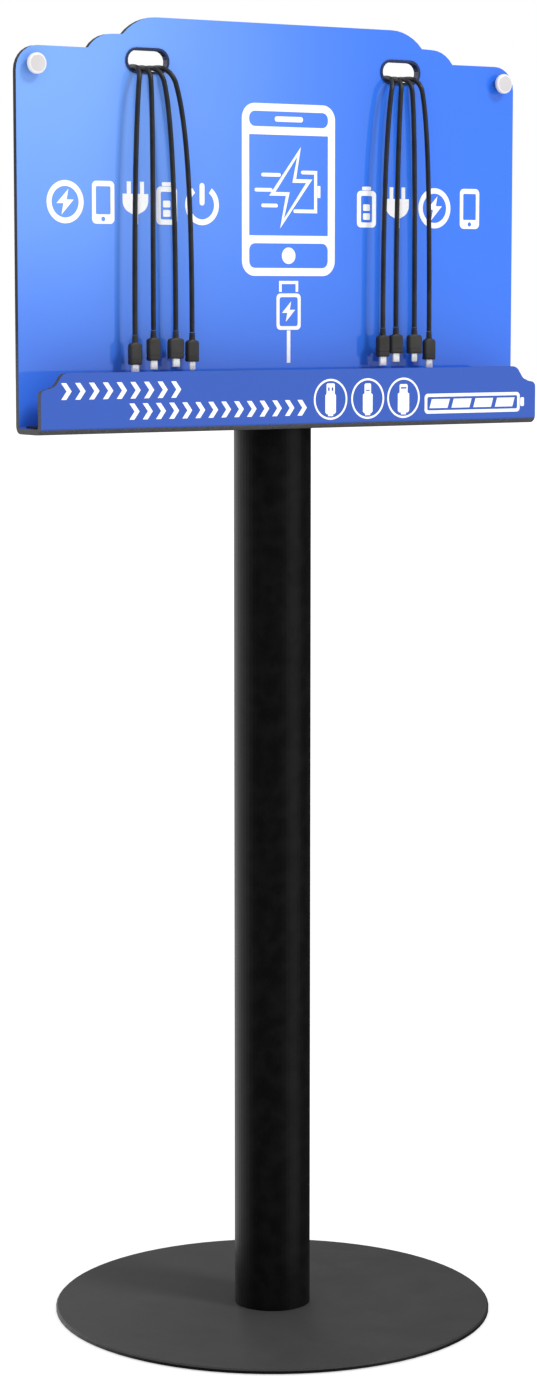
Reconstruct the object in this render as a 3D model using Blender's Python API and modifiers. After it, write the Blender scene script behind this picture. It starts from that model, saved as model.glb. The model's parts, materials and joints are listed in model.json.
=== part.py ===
"""Free-standing phone charging kiosk: signage board with tray, charging cords, rear housing, column and base.

Metres, +Z up, front faces -Y, origin on the floor under the column axis. The head is drawn with its
board at BOARD_Y, and moves back by HEAD_BACK at the end, so that the column stands under its middle.
"""

import math

import bmesh
import bpy
from mathutils import Matrix, Vector

MM = 0.001

# ---------------------------------------------------------------- main sizes (mm)
TRAY_Z = 820.0  # underside of the tray above the floor
BOARD_Y = -45.0  # front face of the board
HEAD_BACK = 38.0  # how far the finished head moves back over the column
SHEET_T = 5.0  # sheet thickness of the bent panel
BOARD_HALF = 267.0
TRAY_DEPTH = 37.8  # front face of the board to front face of the lip
BEND_R = 7.0  # outer bend radius
SHOULDER_Z = 330.0
STEP_Z = 342.5
CROWN_Z = 358.5
LIP_Z = 52.8

SLOT_X = 136.0
SLOT_Z = 320.8
SLOT_W = 43.0
SLOT_H = 20.6
BEZEL_LIP = 0.9
BEZEL_WALL = 1.0

CAP_X = 250.4
CAP_Z = 314.2
CAP_R = 9.0

HOUSE_X = 168.0
HOUSE_Z0 = 0.0
HOUSE_Z1 = 298.0
HOUSE_Y0 = BOARD_Y + SHEET_T + 0.3
HOUSE_Y1 = 46.0
HOUSE_T = 2.0
FLANGE_X = 184.0

DOOR_X0, DOOR_X1 = -149.5, 150.0
DOOR_Z0, DOOR_Z1 = 78.0, 288.0
DOOR_Y0, DOOR_Y1 = 46.5, 48.5
HINGE_X, HINGE_Y = -154.0, 49.8
HINGE_R = 3.2
LOCK_X, LOCK_Z = 127.0, 183.0

INLET_X, INLET_Z = 122.0, 46.0
ROCKER_X, ROCKER_Z, ROCKER_Y = 74.0, 46.0, 42.5

COLUMN_R = 35.0
COLUMN_WALL = 2.0
BASE_R = 202.0
BASE_Z0, BASE_Z1 = 1.0, 5.0
FOOT_SCREW_R = 20.0
TRAY_SCREWS = [(-18.0, -60.0), (18.0, -60.0)]  # down through the tray into the column cap
FLOOR_SCREWS = [(-18.0, -18.0), (18.0, -18.0)]  # down through the housing floor into the cap

CORD_R = 2.2
CORD_X = 135.65  # middle of each group of four
PORT_Y = 2.0
CORD_Y = BOARD_Y - 15.0  # hanging plane of the cords

# name, x in the slot, x where it hangs, body width, body top, body bottom, tip end, tip width, tip thickness
PLUGS = [
    ("l1", -148.2, -159.0, 12.0, 77.0, 58.5, 50.8, 8.3, 2.5),
    ("l2", -139.8, -140.0, 12.2, 81.0, 61.8, 54.0, 8.3, 2.5),
    ("l3", -131.5, -117.0, 15.0, 80.7, 63.3, 56.1, 8.4, 2.5),
    ("l4", -123.1, -100.0, 12.0, 79.0, 60.5, 52.8, 6.8, 1.7),
    ("r1", 123.1, 106.9, 12.6, 81.6, 62.7, 54.6, 8.3, 2.5),
    ("r2", 131.5, 121.6, 13.2, 82.4, 65.6, 57.8, 8.4, 2.5),
    ("r3", 139.8, 142.6, 14.8, 82.1, 65.3, 57.5, 6.8, 1.7),
    ("r4", 148.2, 159.5, 12.0, 78.0, 59.5, 51.8, 8.3, 2.5),
]

# ---------------------------------------------------------------- scene start
for old in list(bpy.data.objects):
    bpy.data.objects.remove(old, do_unlink=True)
bpy.context.scene.unit_settings.system = "METRIC"
bpy.context.scene.unit_settings.scale_length = 1.0

main = bpy.data.collections.new("phone_charging_kiosk")
bpy.context.scene.collection.children.link(main)
helpers = bpy.data.collections.new("cutters")
bpy.context.scene.collection.children.link(helpers)
helpers.hide_render = True


def material(name, colour, metallic=0.0, rough=0.5, coat=0.0):
    mat = bpy.data.materials.new(name)
    mat.use_nodes = True
    shader = mat.node_tree.nodes["Principled BSDF"]
    shader.inputs["Base Color"].default_value = (*colour, 1.0)
    shader.inputs["Metallic"].default_value = metallic
    shader.inputs["Roughness"].default_value = rough
    shader.inputs["Coat Weight"].default_value = coat
    return mat


BLUE = material("board_blue", (0.105, 0.27, 0.93), 0.0, 0.12, 1.0)
BLACK_STEEL = material("powder_black", (0.012, 0.012, 0.013), 0.0, 0.42)
BASE_STEEL = material("base_charcoal", (0.055, 0.055, 0.058), 0.0, 0.45)
CHROME = material("chrome", (0.8, 0.81, 0.83), 1.0, 0.12)
WHITE = material("cap_white", (0.82, 0.8, 0.82), 0.0, 0.35)
ZINC = material("zinc_steel", (0.55, 0.56, 0.58), 1.0, 0.35)
CORD_BLACK = material("cord_black", (0.01, 0.01, 0.011), 0.0, 0.45)
PLUG_BLACK = material("plug_black", (0.022, 0.021, 0.02), 0.0, 0.5)
TRIM = material("trim_navy", (0.006, 0.01, 0.03), 0.0, 0.3)
PLASTIC = material("black_plastic", (0.018, 0.018, 0.02), 0.0, 0.4)
GREY_PLASTIC = material("grey_plastic", (0.16, 0.165, 0.17), 0.0, 0.45)
RUBBER = material("rubber_black", (0.015, 0.015, 0.015), 0.0, 0.8)


# ---------------------------------------------------------------- helpers
def add(name, bm, mat, cutter=False):
    """Stores a bmesh, given in millimetres, as an object in metres."""
    bmesh.ops.recalc_face_normals(bm, faces=bm.faces[:])
    bmesh.ops.scale(bm, vec=(MM, MM, MM), verts=bm.verts[:])
    mesh = bpy.data.meshes.new(name)
    bm.to_mesh(mesh)
    bm.free()
    obj = bpy.data.objects.new(name, mesh)
    if cutter:
        helpers.objects.link(obj)
        obj.hide_render = True
        obj.display_type = "WIRE"
    else:
        main.objects.link(obj)
        mesh.materials.append(mat)
    return obj


def prism_into(bm, points, axis, low, high):
    """Extrudes a closed outline along an axis. Outlines are (x, z) for Y, (x, y) for Z and (y, z) for X."""
    place = {
        "Y": lambda p, h: (p[0], h, p[1]),
        "Z": lambda p, h: (p[0], p[1], h),
        "X": lambda p, h: (h, p[0], p[1]),
    }[axis]
    verts = [bm.verts.new(place(p, low)) for p in points]
    face = bm.faces.new(verts)
    lift = bmesh.ops.extrude_face_region(bm, geom=[face])
    top = [v for v in lift["geom"] if isinstance(v, bmesh.types.BMVert)]
    step = {"Y": (0, 1, 0), "Z": (0, 0, 1), "X": (1, 0, 0)}[axis]
    bmesh.ops.translate(bm, vec=Vector(step) * (high - low), verts=top)


def prism(name, points, axis, low, high, mat=None, cutter=False):
    bm = bmesh.new()
    prism_into(bm, points, axis, low, high)
    return add(name, bm, mat, cutter)


def block_into(bm, low, high):
    low, high = Vector(low), Vector(high)
    made = bmesh.ops.create_cube(bm, size=1.0)["verts"]
    bmesh.ops.scale(bm, vec=high - low, verts=made)
    bmesh.ops.translate(bm, vec=(low + high) / 2, verts=made)


def block(name, low, high, mat=None, cutter=False):
    bm = bmesh.new()
    block_into(bm, low, high)
    return add(name, bm, mat, cutter)


def lathe(name, profile, mat=None, steps=32, centre=(0, 0, 0), axis="Z", cutter=False):
    """Screws a profile of (radius, height), listed from the top down its outer side, round an axis."""
    mesh = bpy.data.meshes.new(name)
    points = [(r * MM, 0, h * MM) for r, h in profile]
    edges = [(i, i + 1) for i in range(len(points) - 1)]
    if profile[0][0] > 0 and profile[-1][0] > 0:
        edges.append((len(points) - 1, 0))
    mesh.from_pydata(points, edges, [])
    obj = bpy.data.objects.new(name, mesh)
    obj.location = [c * MM for c in centre]
    obj.rotation_euler = {
        "Z": (0, 0, 0),
        "Y": (math.radians(-90), 0, 0),
        "-Y": (math.radians(90), 0, 0),
    }[axis]
    mod = obj.modifiers.new("Screw", "SCREW")
    mod.axis = "Z"
    mod.angle = 2 * math.pi
    mod.steps = steps
    mod.render_steps = steps
    mod.use_merge_vertices = True
    mod.merge_threshold = 0.00005
    mod.use_normal_calculate = False
    mod.use_smooth_shade = True
    if cutter:
        helpers.objects.link(obj)
        obj.hide_render = True
        obj.display_type = "WIRE"
    else:
        main.objects.link(obj)
        mesh.materials.append(mat)
    return obj


def rod_into(bm, radius, length, centre, axis="Z", steps=16):
    made = bmesh.ops.create_cone(
        bm,
        cap_ends=True,
        segments=steps,
        radius1=radius,
        radius2=radius,
        depth=length,
    )["verts"]
    turn = {
        "Z": Matrix.Identity(3),
        "Y": Matrix.Rotation(math.radians(90), 3, "X"),
        "X": Matrix.Rotation(math.radians(90), 3, "Y"),
    }[axis]
    bmesh.ops.rotate(bm, cent=(0, 0, 0), matrix=turn, verts=made)
    bmesh.ops.translate(bm, vec=centre, verts=made)


def arc(cx, cy, r, a0, a1, n):
    """n+1 points from angle a0 to a1, in degrees."""
    return [
        (
            cx + r * math.cos(math.radians(a0 + (a1 - a0) * i / n)),
            cy + r * math.sin(math.radians(a0 + (a1 - a0) * i / n)),
        )
        for i in range(n + 1)
    ]


def stadium(cx, cz, w, h, n=10):
    r = h / 2
    return arc(cx + w / 2 - r, cz, r, -90, 90, n) + arc(
        cx - w / 2 + r, cz, r, 90, 270, n
    )


def round_rect(x0, z0, x1, z1, r, n=4):
    return (
        arc(x1 - r, z0 + r, r, -90, 0, n)
        + arc(x1 - r, z1 - r, r, 0, 90, n)
        + arc(x0 + r, z1 - r, r, 90, 180, n)
        + arc(x0 + r, z0 + r, r, 180, 270, n)
    )


def boolean(obj, other, operation="DIFFERENCE"):
    mod = obj.modifiers.new(operation.title(), "BOOLEAN")
    mod.operation = operation
    mod.solver = "EXACT"
    mod.object = other


def bevel(obj, width, segments=2, angle=40):
    mod = obj.modifiers.new("Bevel", "BEVEL")
    mod.width = width * MM
    mod.segments = segments
    mod.limit_method = "ANGLE"
    mod.angle_limit = math.radians(angle)
    mod.use_clamp_overlap = True
    return mod


def shade(obj, angle=35):
    for poly in obj.data.polygons:
        poly.use_smooth = True
    if obj.data.polygons:
        obj.data.set_sharp_from_angle(angle=math.radians(angle))


def pivot(name, centre, pieces, parent=None):
    """An empty on a joint's axis, which its pieces are parented to."""
    empty = bpy.data.objects.new(name, None)
    empty.empty_display_size = 0.02
    main.objects.link(empty)
    empty.location = [c * MM for c in centre]
    if parent:
        bpy.context.view_layer.update()
        empty.parent = parent
        empty.matrix_parent_inverse = parent.matrix_world.inverted()
    bpy.context.view_layer.update()
    for piece in pieces:
        piece.parent = empty
        piece.matrix_parent_inverse = empty.matrix_world.inverted()
    return empty


# ---------------------------------------------------------------- display panel
back_y = BOARD_Y + SHEET_T
lip_y = BOARD_Y - TRAY_DEPTH
r_out, r_in = BEND_R, BEND_R - SHEET_T
profile = (
    [(BOARD_Y, TRAY_Z + CROWN_Z)]
    + [(y, z) for y, z in arc(BOARD_Y - r_in, TRAY_Z + BEND_R, r_in, 0, -90, 5)]
    + [(y, z) for y, z in arc(lip_y + BEND_R, TRAY_Z + BEND_R, r_in, 270, 180, 5)]
    + [(lip_y + SHEET_T, TRAY_Z + LIP_Z), (lip_y, TRAY_Z + LIP_Z)]
    + [(y, z) for y, z in arc(lip_y + BEND_R, TRAY_Z + BEND_R, r_out, 180, 270, 6)]
    + [(y, z) for y, z in arc(back_y - BEND_R, TRAY_Z + BEND_R, r_out, -90, 0, 6)]
    + [(back_y, TRAY_Z + CROWN_Z)]
)
panel = prism("display_panel", profile, "X", -BOARD_HALF, BOARD_HALF, BLUE)


def crown_half():
    """Right half of the marquee outline, from the edge up to the crown, in board heights."""
    return (
        arc(BOARD_HALF - 21.5, SHOULDER_Z - 21.5, 21.5, 0, 90, 7)
        + arc(172.0, STEP_Z - 28.7, 28.7, 34.2, 90, 5)
        + arc(126.2, CROWN_Z - 46.0, 46.0, 41.4, 90, 6)
    )


right = [(x, TRAY_Z + z) for x, z in crown_half()]
left = [(-x, z) for x, z in reversed(right)]
outside = (
    right
    + left
    + [
        (-BOARD_HALF - 30, left[-1][1]),
        (-BOARD_HALF - 30, TRAY_Z + CROWN_Z + 40),
        (BOARD_HALF + 30, TRAY_Z + CROWN_Z + 40),
        (BOARD_HALF + 30, right[0][1]),
    ]
)
boolean(
    panel,
    prism(
        "cut_crown", outside, "Y", BOARD_Y - SHEET_T, back_y + SHEET_T, cutter=True
    ),
)

lip_end = [
    (267.0, 31.0),
    *arc(262.0, 33.6, 5.0, 8, 90, 5),
    (257.6, 39.5),
    *arc(257.6, 48.2, 8.0, 262, 205, 5),
    *arc(240.0, 43.8, 9.0, 28, 90, 6),
    (231.5, 52.8),
]
bm = bmesh.new()
for side in (1, -1):
    points = [(side * x, TRAY_Z + z) for x, z in lip_end]
    points += [
        (side * 231.5, TRAY_Z + 75),
        (side * 300, TRAY_Z + 75),
        (side * 300, TRAY_Z + 31.0),
    ]
    prism_into(bm, points, "Y", lip_y - 3, lip_y + SHEET_T + 3)
boolean(panel, add("cut_lip_ends", bm, None, True))

bm = bmesh.new()
for side in (1, -1):
    prism_into(
        bm,
        stadium(side * SLOT_X, TRAY_Z + SLOT_Z, SLOT_W, SLOT_H, 9),
        "Y",
        BOARD_Y - 4,
        back_y + 4,
    )
    rod_into(
        bm, 2.5, SHEET_T + 8, (side * CAP_X, BOARD_Y + SHEET_T / 2, TRAY_Z + CAP_Z), "Y"
    )
    for z in (60.0, 252.0):
        rod_into(bm, 2.3, 4.4, (side * 176.0, back_y, TRAY_Z + z), "Y", 12)
for x, y in TRAY_SCREWS:
    rod_into(bm, 2.4, 14, (x, y, TRAY_Z), "Z", 12)
boolean(panel, add("cut_panel_holes", bm, None, True))
bm = bmesh.new()
for x, y in TRAY_SCREWS:
    made = bmesh.ops.create_cone(bm, cap_ends=True, segments=12, radius1=2.1, radius2=5.1, depth=3.0)["verts"]
    bmesh.ops.translate(bm, vec=(x, y, TRAY_Z + SHEET_T - 0.5), verts=made)
boolean(panel, add("cut_tray_countersinks", bm, None, True))
shade(panel)

# ---------------------------------------------------------------- slot bezels
for side, word in ((-1, "left"), (1, "right")):
    cx, cz = side * SLOT_X, TRAY_Z + SLOT_Z
    bezel = prism(
        f"slot_bezel_{word}",
        stadium(cx, cz, SLOT_W - 0.6, SLOT_H - 0.6, 9),
        "Y",
        BOARD_Y - 0.5,
        back_y + 1.0,
        TRIM,
    )
    boolean(
        bezel,
        prism(
            f"add_bezel_flange_{word}",
            stadium(cx, cz, SLOT_W + 2 * BEZEL_LIP, SLOT_H + 2 * BEZEL_LIP, 9),
            "Y",
            BOARD_Y - 1.1,
            BOARD_Y - 0.3,
            cutter=True,
        ),
        "UNION",
    )
    hole_w = SLOT_W - 0.6 - 2 * BEZEL_WALL
    hole_h = SLOT_H - 0.6 - 2 * BEZEL_WALL
    boolean(
        bezel,
        prism(
            f"cut_bezel_{word}",
            stadium(cx, cz, hole_w, hole_h, 9),
            "Y",
            BOARD_Y - 4,
            back_y + 8,
            cutter=True,
        ),
    )
    shade(bezel)

# ---------------------------------------------------------------- standoffs at the top corners
for side, word in ((-1, "left"), (1, "right")):
    centre = (side * CAP_X, BOARD_Y, TRAY_Z + CAP_Z)
    cap = lathe(
        f"standoff_cap_{word}",
        [(0, 9.4), (7.2, 9.4), (8.3, 9.0), (9.0, 8.1), (9.0, 5.9), (8.6, 5.5), (0, 5.5)],
        WHITE,
        28,
        centre,
        "-Y",
    )
    stud = lathe(
        f"standoff_stud_{word}",
        [(0, 5.2), (6.0, 5.2), (6.0, 0.3), (2.1, 0.3), (2.1, -10.4), (0, -10.4)],
        ZINC,
        14,
        centre,
        "-Y",
    )
    nut = prism(
        f"standoff_nut_{word}",
        [
            (centre[0] + x, centre[2] + z)
            for x, z in arc(0, 0, 4.6, 0, 300, 5)
        ],
        "Y",
        back_y + 0.3,
        back_y + 3.8,
        ZINC,
    )
    bm = bmesh.new()
    rod_into(bm, 2.5, 12, (centre[0], back_y + 2, centre[2]), "Y", 12)
    boolean(nut, add(f"cut_nut_{word}", bm, None, True))
    shade(cap)
    shade(stud)

# ---------------------------------------------------------------- tray liner
liner = block(
    "tray_liner",
    (-262.0, lip_y + 7.4, TRAY_Z + SHEET_T + 0.3),
    (262.0, BOARD_Y - 3.2, TRAY_Z + SHEET_T + 1.8),
    RUBBER,
)
bevel(liner, 0.3, 1)

# ---------------------------------------------------------------- rear housing
z0, z1 = TRAY_Z + HOUSE_Z0, TRAY_Z + HOUSE_Z1
housing = block(
    "rear_housing",
    (-HOUSE_X, HOUSE_Y0, z0),
    (HOUSE_X, HOUSE_Y1, z1),
    BLACK_STEEL,
)
bevel(housing, 3.5, 2)
boolean(
    housing,
    block(
        "cut_housing_front",
        (-HOUSE_X - 9, HOUSE_Y0 - 9, z0 - 9),
        (HOUSE_X + 9, HOUSE_Y0 + 4.0, z1 + 9),
        cutter=True,
    ),
)
bm = bmesh.new()
prism_into(
    bm,
    round_rect(-HOUSE_X, z0, HOUSE_X, z1, 3.5, 2),
    "Y",
    HOUSE_Y0,
    HOUSE_Y0 + 5.0,
)
boolean(housing, add("add_housing_rim", bm, None, True), "UNION")
bm = bmesh.new()
for side in (1, -1):
    x_in, x_out = HOUSE_X - 6, FLANGE_X
    points = round_rect(min(side * x_in, side * x_out), TRAY_Z + 24, max(side * x_in, side * x_out), TRAY_Z + 286, 3.0, 2)
    prism_into(bm, points, "Y", HOUSE_Y0, HOUSE_Y0 + HOUSE_T)
boolean(housing, add("add_housing_flanges", bm, None, True), "UNION")
boolean(
    housing,
    block(
        "cut_housing_cavity",
        (-HOUSE_X + HOUSE_T, HOUSE_Y0 - 10, z0 + HOUSE_T),
        (HOUSE_X - HOUSE_T, HOUSE_Y1 - HOUSE_T, z1 - HOUSE_T),
        cutter=True,
    ),
)
bm = bmesh.new()
prism_into(
    bm,
    round_rect(-140.0, TRAY_Z + 88, 140.0, TRAY_Z + 278, 6, 4),
    "Y",
    HOUSE_Y1 - 8,
    HOUSE_Y1 + 8,
)
block_into(
    bm,
    (INLET_X - 14.0, HOUSE_Y1 - 8, TRAY_Z + INLET_Z - 10),
    (INLET_X + 14.0, HOUSE_Y1 + 8, TRAY_Z + INLET_Z + 10),
)
block_into(
    bm,
    (ROCKER_X - 13.3, HOUSE_Y1 - 8, TRAY_Z + ROCKER_Z - 10),
    (ROCKER_X + 13.3, HOUSE_Y1 + 8, TRAY_Z + ROCKER_Z + 10),
)
for x, y in FLOOR_SCREWS:
    rod_into(bm, 2.4, 14, (x, y, z0), "Z", 12)
for side in (1, -1):
    for z in (60.0, 252.0):
        rod_into(bm, 2.3, 12, (side * 176.0, HOUSE_Y0, TRAY_Z + z), "Y", 12)
    prism_into(
        bm, stadium(side * CORD_X, PORT_Y, 50.0, 14.0, 6), "Z", z1 - 6, z1 + 6
    )
    for i in range(5):
        z = TRAY_Z + 212 + 11 * i
        points = [(y, zz) for y, zz in stadium(2.0, z, 56.0, 4.4, 3)]
        prism_into(bm, points, "X", side * HOUSE_X - 6, side * HOUSE_X + 6)
boolean(housing, add("cut_housing_openings", bm, None, True))
shade(housing)

# ---------------------------------------------------------------- top grommets
for side, word in ((-1, "left"), (1, "right")):
    grommet = prism(
        f"top_grommet_{word}",
        stadium(side * CORD_X, PORT_Y, 49.4, 13.4, 6),
        "Z",
        z1 - HOUSE_T - 1.5,
        z1 + 1.0,
        RUBBER,
    )
    boolean(
        grommet,
        prism(
            f"add_grommet_flange_{word}",
            stadium(side * CORD_X, PORT_Y, 54.0, 18.0, 6),
            "Z",
            z1 + 0.3,
            z1 + 2.0,
            cutter=True,
        ),
        "UNION",
    )
    boolean(
        grommet,
        prism(
            f"cut_grommet_{word}",
            stadium(side * CORD_X, PORT_Y, 44.0, 8.0, 6),
            "Z",
            z1 - 10,
            z1 + 10,
            cutter=True,
        ),
    )
    shade(grommet)

# ---------------------------------------------------------------- panel screws
for side, word in ((-1, "left"), (1, "right")):
    for z, place in ((60.0, "low"), (252.0, "high")):
        screw = lathe(
            f"panel_screw_{word}_{place}",
            [(0, 2.8), (2.2, 2.6), (3.6, 1.7), (4.1, 0.3), (1.9, 0.3), (1.9, -4.1), (0, -4.1)],
            ZINC,
            12,
            (side * 176.0, HOUSE_Y0 + HOUSE_T, TRAY_Z + z),
            "Y",
        )
        shade(screw)

# ---------------------------------------------------------------- service door
door = prism(
    "service_door",
    round_rect(DOOR_X0, TRAY_Z + DOOR_Z0, DOOR_X1, TRAY_Z + DOOR_Z1, 5, 4),
    "Y",
    DOOR_Y0,
    DOOR_Y1,
    BLACK_STEEL,
)
bm = bmesh.new()
rod_into(bm, 8.4, 12, (LOCK_X, DOOR_Y0, TRAY_Z + LOCK_Z), "Y", 20)
for i in range(7):
    x = 12 * i - 36
    prism_into(
        bm,
        round_rect(x - 2.2, TRAY_Z + 112, x + 2.2, TRAY_Z + 142, 1.8, 1),
        "Y",
        DOOR_Y0 - 4,
        DOOR_Y1 + 4,
    )
boolean(door, add("cut_door", bm, None, True))
shade(door)

# ---------------------------------------------------------------- piano hinge
KNUCKLES = 7
hz0, hz1 = TRAY_Z + DOOR_Z0 + 6, TRAY_Z + DOOR_Z1 - 6
pitch = (hz1 - hz0) / KNUCKLES


def knuckle_cutters(bm, start, dx):
    """Barrel and tab for each second knuckle; dx is the side on which the tab meets its leaf."""
    for i in range(start, KNUCKLES, 2):
        low, high = hz0 + pitch * i + 0.25, hz0 + pitch * (i + 1) - 0.25
        y_a, y_b = (46.4, 48.0) if dx < 0 else (48.9, 50.5)
        if dx < 0:
            points = [(HINGE_X - 6.5, y_a)]
            points += arc(HINGE_X, HINGE_Y, HINGE_R, 270, 270 + 248, 9)
            points += [(HINGE_X - 6.5, y_b)]
            points[1] = (HINGE_X, HINGE_Y - HINGE_R)
        else:
            points = arc(HINGE_X, HINGE_Y, HINGE_R, 14, 343, 12)
            points += [(HINGE_X + 6.5, y_a), (HINGE_X + 6.5, y_b)]
        prism_into(bm, points, "Z", low, high)


leaf_fixed = block(
    "hinge_leaf_fixed", (-166.0, 46.4, hz0), (HINGE_X - 4.2, 48.0, hz1), ZINC
)
bm = bmesh.new()
knuckle_cutters(bm, 0, -1)
boolean(leaf_fixed, add("add_knuckles_fixed", bm, None, True), "UNION")
leaf_moving = block(
    "hinge_leaf_moving", (HINGE_X + 4.2, 48.9, hz0), (-134.0, 50.5, hz1), ZINC
)
bm = bmesh.new()
knuckle_cutters(bm, 1, 1)
boolean(leaf_moving, add("add_knuckles_moving", bm, None, True), "UNION")
bm = bmesh.new()
rod_into(bm, 1.75, hz1 - hz0 + 12, (HINGE_X, HINGE_Y, (hz0 + hz1) / 2), "Z", 12)
bore = add("cut_hinge_bore", bm, None, True)
boolean(leaf_fixed, bore)
boolean(leaf_moving, bore)
pin = lathe(
    "hinge_pin",
    [
        (0, hz1 + 1.8),
        (2.4, hz1 + 1.4),
        (2.4, hz1 + 0.3),
        (1.4, hz1 + 0.3),
        (1.4, hz0 - 0.3),
        (2.4, hz0 - 0.3),
        (2.4, hz0 - 1.4),
        (0, hz0 - 1.8),
    ],
    ZINC,
    12,
    (HINGE_X, HINGE_Y, 0),
)
shade(pin)
shade(leaf_fixed)
shade(leaf_moving)

# ---------------------------------------------------------------- cam lock
lock_at = (LOCK_X, 0, TRAY_Z + LOCK_Z)
lock_body = lathe(
    "lock_body",
    [(6.1, 51.6), (9.4, 51.6), (10.6, 50.8), (11.0, 48.8), (8.0, 48.8), (8.0, 43.9), (6.1, 43.9)],
    CHROME,
    20,
    lock_at,
    "Y",
)
lock_nut = prism(
    "lock_nut",
    [(LOCK_X + x, TRAY_Z + LOCK_Z + z) for x, z in arc(0, 0, 12.2, 30, 330, 5)],
    "Y",
    44.1,
    46.2,
    ZINC,
)
bm = bmesh.new()
rod_into(bm, 8.4, 12, (LOCK_X, 45, TRAY_Z + LOCK_Z), "Y", 20)
boolean(lock_nut, add("cut_lock_nut", bm, None, True))
lock_plug = lathe(
    "lock_plug",
    [(0, 52.2), (5.2, 52.2), (5.7, 51.8), (5.7, 43.6), (3.0, 43.6), (3.0, 40.4), (0, 40.4)],
    CHROME,
    20,
    lock_at,
    "Y",
)
bm = bmesh.new()
block_into(
    bm,
    (LOCK_X - 0.6, 50.4, TRAY_Z + LOCK_Z - 3.2),
    (LOCK_X + 0.6, 53.4, TRAY_Z + LOCK_Z + 3.2),
)
boolean(lock_plug, add("cut_keyway", bm, None, True))
cam_outline = (
    arc(0, 0, 7.0, 0, 180, 6) + arc(0, -23.0, 5.0, 180, 360, 6)
)
lock_cam = prism(
    "lock_cam",
    [(LOCK_X + x, TRAY_Z + LOCK_Z + z) for x, z in cam_outline],
    "Y",
    41.2,
    43.3,
    ZINC,
)
bm = bmesh.new()
rod_into(bm, 3.3, 12, (LOCK_X, 42, TRAY_Z + LOCK_Z), "Y", 12)
boolean(lock_cam, add("cut_cam", bm, None, True))
for obj in (lock_body, lock_plug):
    shade(obj)

# ---------------------------------------------------------------- mains inlet and rocker switch
ix, iz = INLET_X, TRAY_Z + INLET_Z
inlet = prism(
    "mains_inlet", round_rect(ix - 24, iz - 13.5, ix + 24, iz + 13.5, 6, 5), "Y", 46.3, 48.8, PLASTIC
)
boolean(
    inlet,
    block("add_inlet_body", (ix - 13.6, 20, iz - 9.6), (ix + 13.6, 47.4, iz + 9.6), cutter=True),
    "UNION",
)
recess = [
    (ix - 11.5, iz - 7.6),
    (ix + 11.5, iz - 7.6),
    (ix + 11.5, iz + 3.4),
    (ix + 7.4, iz + 7.6),
    (ix - 7.4, iz + 7.6),
    (ix - 11.5, iz + 3.4),
]
boolean(inlet, prism("cut_inlet_recess", recess, "Y", 30, 60, cutter=True))
bm = bmesh.new()
for dx, dz in ((-6.6, -1.6), (6.6, -1.6), (0.0, 2.6)):
    block_into(bm, (ix + dx - 1.0, 28.0, iz + dz - 2.1), (ix + dx + 1.0, 45.0, iz + dz + 2.1))
boolean(inlet, add("add_inlet_blades", bm, None, True), "UNION")

rx, rz = ROCKER_X, TRAY_Z + ROCKER_Z
switch = prism(
    "switch_bezel", round_rect(rx - 15.5, rz - 12, rx + 15.5, rz + 12, 2.5, 4), "Y", 46.3, 48.2, PLASTIC
)
boolean(
    switch,
    block("add_switch_body", (rx - 12.9, 24, rz - 9.6), (rx + 12.9, 47.4, rz + 9.6), cutter=True),
    "UNION",
)
boolean(
    switch,
    block("cut_switch", (rx - 10.4, 33, rz - 7.3), (rx + 10.4, 60, rz + 7.3), cutter=True),
)
shade(switch)
shade(inlet)
rocker_side = [(-4.0, -5.6), (6.4, -6.0), (5.2, 0.0), (6.4, 6.0), (-4.0, 5.6)]
bm = bmesh.new()
prism_into(bm, rocker_side, "X", -9.9, 9.9)
bmesh.ops.rotate(
    bm, cent=(0, 0, 0), matrix=Matrix.Rotation(math.radians(-6), 3, "X"), verts=bm.verts[:]
)
rocker = add("switch_rocker", bm, PLASTIC)
rocker.location = (rx * MM, ROCKER_Y * MM, rz * MM)
bevel(rocker, 0.4, 2, 25)
shade(rocker)

# ---------------------------------------------------------------- charging electronics
shelf = block(
    "hub_shelf",
    (-165.5, -36, TRAY_Z + 184),
    (165.5, 24, TRAY_Z + 186),
    BLACK_STEEL,
)
bm = bmesh.new()
for side in (1, -1):
    a, b = sorted((side * 163.6, side * 165.5))
    block_into(bm, (a, -36, TRAY_Z + 170), (b, 20, TRAY_Z + 185.0))
boolean(shelf, add("add_shelf_tabs", bm, None, True), "UNION")
boolean(
    shelf,
    block(
        "add_shelf_lip", (-163, 22.2, TRAY_Z + 176), (163, 24, TRAY_Z + 185), cutter=True
    ),
    "UNION",
)
for side, word in ((-1, "left"), (1, "right")):
    a, b = sorted((side * 104.0, side * 162.0))
    hub = block(
        f"charger_hub_{word}", (a, -16, TRAY_Z + 186.3), (b, 20, TRAY_Z + 248), GREY_PLASTIC
    )
    bevel(hub, 2.0, 2)
    bm = bmesh.new()
    for name, slot_x, *_ in PLUGS:
        if name[0] == word[0]:
            block_into(
                bm,
                (slot_x - 2.8, -4.6, TRAY_Z + 236),
                (slot_x + 2.8, 8.6, TRAY_Z + 260),
            )
    boolean(hub, add(f"cut_hub_ports_{word}", bm, None, True))
    shade(hub)
psu = block("power_supply", (-160, -34, TRAY_Z + 2.3), (-66, 22, TRAY_Z + 44), PLASTIC)
bevel(psu, 3.0, 2)
shade(psu)

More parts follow.
